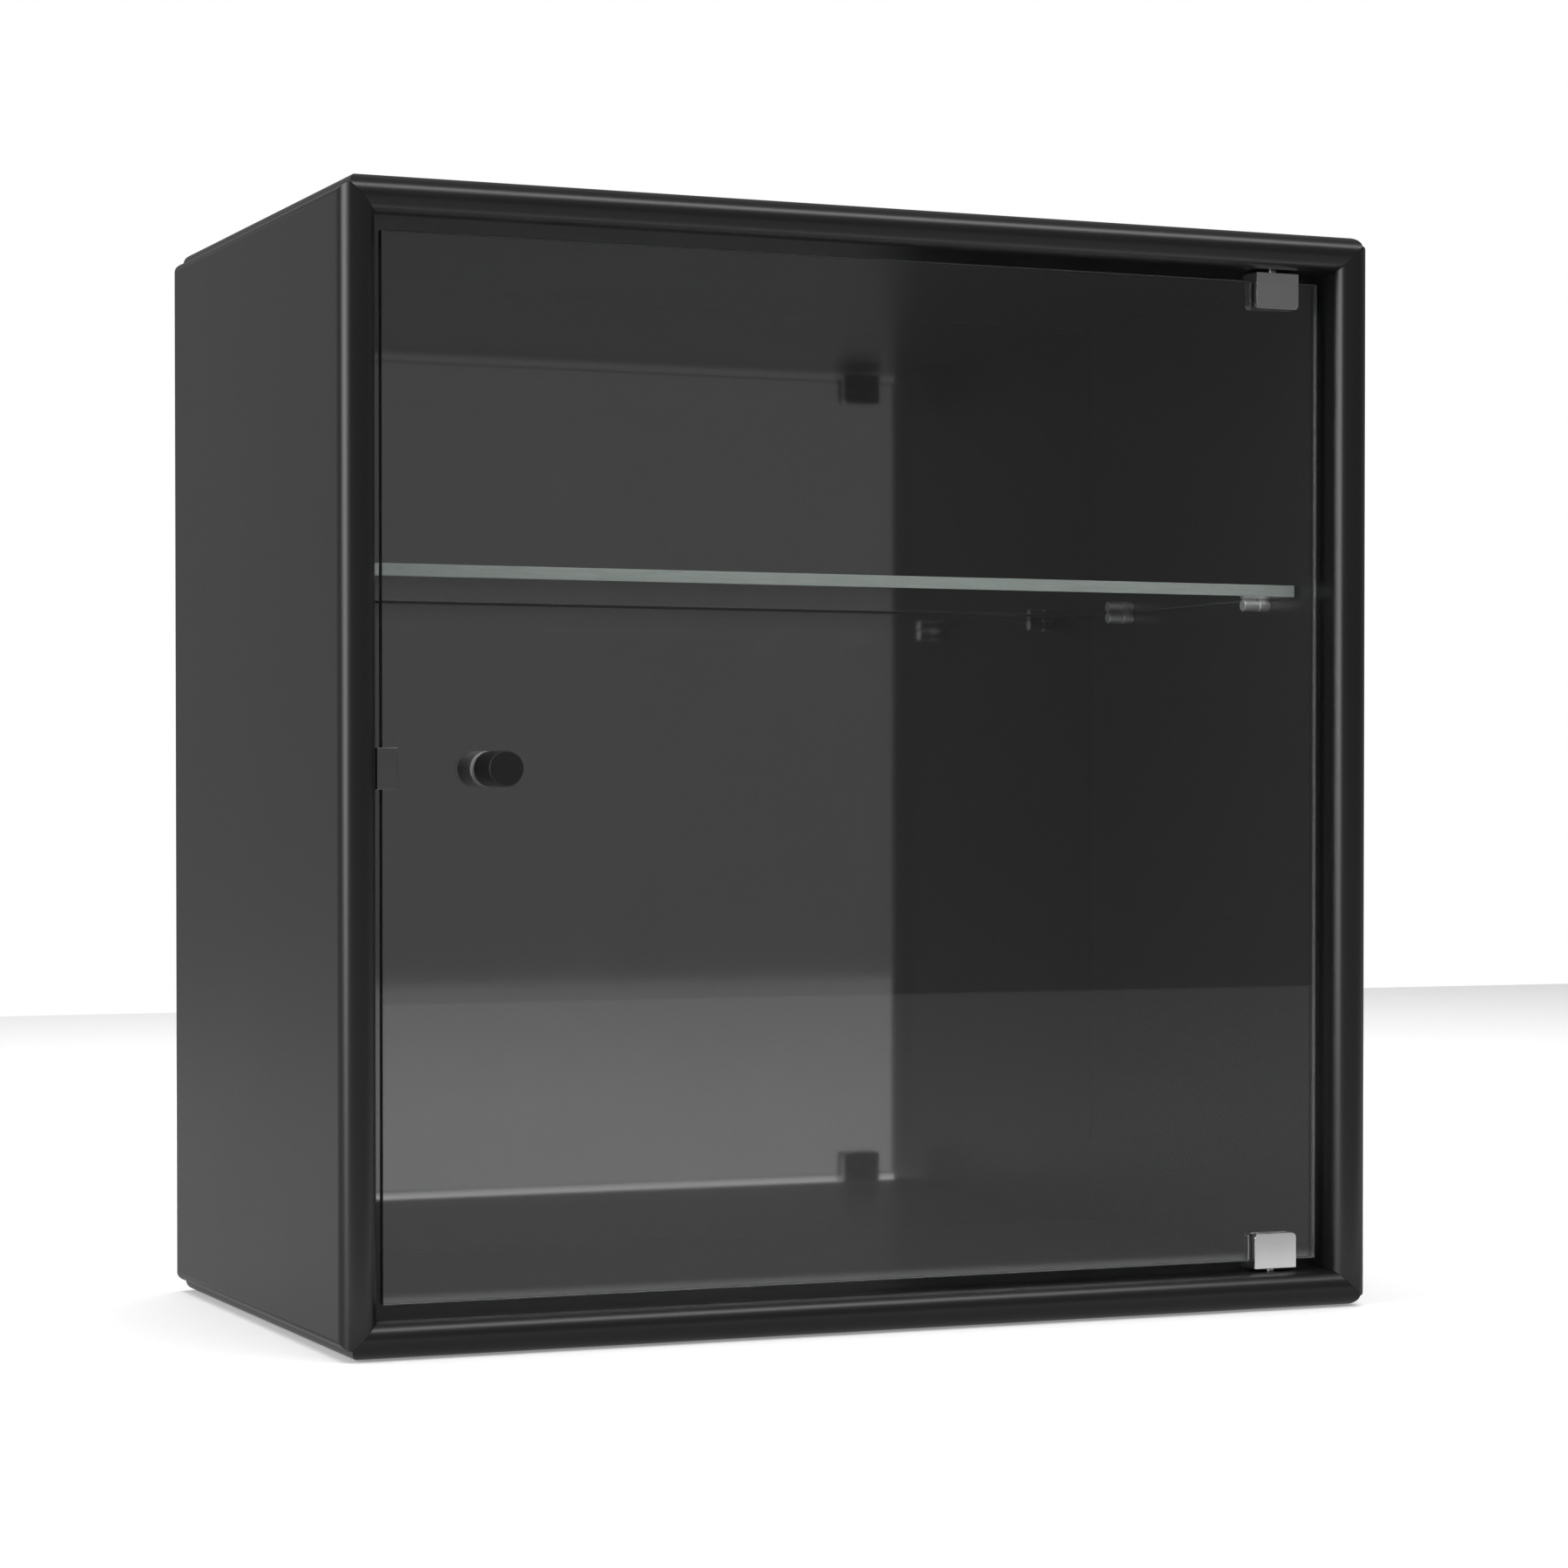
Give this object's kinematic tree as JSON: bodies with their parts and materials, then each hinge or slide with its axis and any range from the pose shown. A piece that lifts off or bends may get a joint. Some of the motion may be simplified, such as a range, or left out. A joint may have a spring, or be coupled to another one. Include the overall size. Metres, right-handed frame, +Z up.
{
  "type": "glass-door display cabinet",
  "caption": "Square wall-mounted display cabinet with an inset glass door on pivot hinges, a round knob, a magnetic catch and a glass shelf on pins.",
  "frame": {"origin": "centre of the bottom panel's flat underside, midway between the front and rear edges", "axes": "+Z up, the glass door faces -Y, +X is towards the hinge side"},
  "size_m": [0.45, 0.2573, 0.45],
  "materials": {
    "lacquered_board": "smooth satin black lacquer on fine fibreboard",
    "back_board": "smooth satin-gloss black facing",
    "plywood": "bare birch plywood",
    "clear_glass": "polished clear float glass with ground green edges",
    "satin_nickel": "satin nickel plating",
    "dark_metal": "satin dark anthracite coat",
    "clip_steel": "satin darkened steel",
    "zinc_steel": "bright zinc plating",
    "black_nylon": "fine matte moulded nylon",
    "soft_liner": "matte translucent vinyl",
    "ferrite": "dull sintered ferrite"
  },
  "bodies": {
    "cabinet": {"top_panel": "lacquered_board", "bottom_panel": "lacquered_board", "left_side_panel": "lacquered_board", "right_side_panel": "lacquered_board", "back_panel": "back_board", "mitre_spline_top_left": "plywood", "mitre_spline_top_right": "plywood", "mitre_spline_bottom_left": "plywood", "mitre_spline_bottom_right": "plywood", "glass_shelf": "clear_glass", "shelf_pin_front_left": "satin_nickel", "shelf_pin_front_right": "satin_nickel", "shelf_pin_rear_left": "satin_nickel", "shelf_pin_rear_right": "satin_nickel", "catch_body": "black_nylon", "catch_magnet": "ferrite", "catch_pole_upper": "zinc_steel", "catch_pole_lower": "zinc_steel", "catch_screw_upper": "zinc_steel", "catch_screw_lower": "zinc_steel", "hanging_bracket_left": "zinc_steel", "bracket_screw_left_upper": "zinc_steel", "bracket_screw_left_lower": "zinc_steel", "hanging_bracket_right": "zinc_steel", "bracket_screw_right_upper": "zinc_steel", "bracket_screw_right_lower": "zinc_steel", "upper_pivot_bush": "black_nylon", "lower_pivot_bush": "black_nylon"},
    "door": {"door_glass": "clear_glass", "knob": "dark_metal", "inner_knob": "satin_nickel", "knob_gasket": "black_nylon", "inner_knob_gasket": "black_nylon", "knob_sleeve": "black_nylon", "knob_stud": "zinc_steel", "strike_clip": "clip_steel", "strike_clip_liner": "soft_liner", "upper_hinge_clamp": "satin_nickel", "upper_hinge_liner": "soft_liner", "upper_pivot_pin": "zinc_steel", "upper_clamp_screw_left": "zinc_steel", "upper_clamp_screw_right": "zinc_steel", "lower_hinge_clamp": "satin_nickel", "lower_hinge_liner": "soft_liner", "lower_pivot_pin": "zinc_steel", "lower_clamp_screw_left": "zinc_steel", "lower_clamp_screw_right": "zinc_steel"}
  },
  "joints": [
    {"name": "door_hinge", "type": "hinge", "parent": "cabinet", "child": "door", "pos_m": [0.1848, -0.111, 0.225], "axis": [0, 0, 1], "range_deg": [0, 145]}
  ]
}
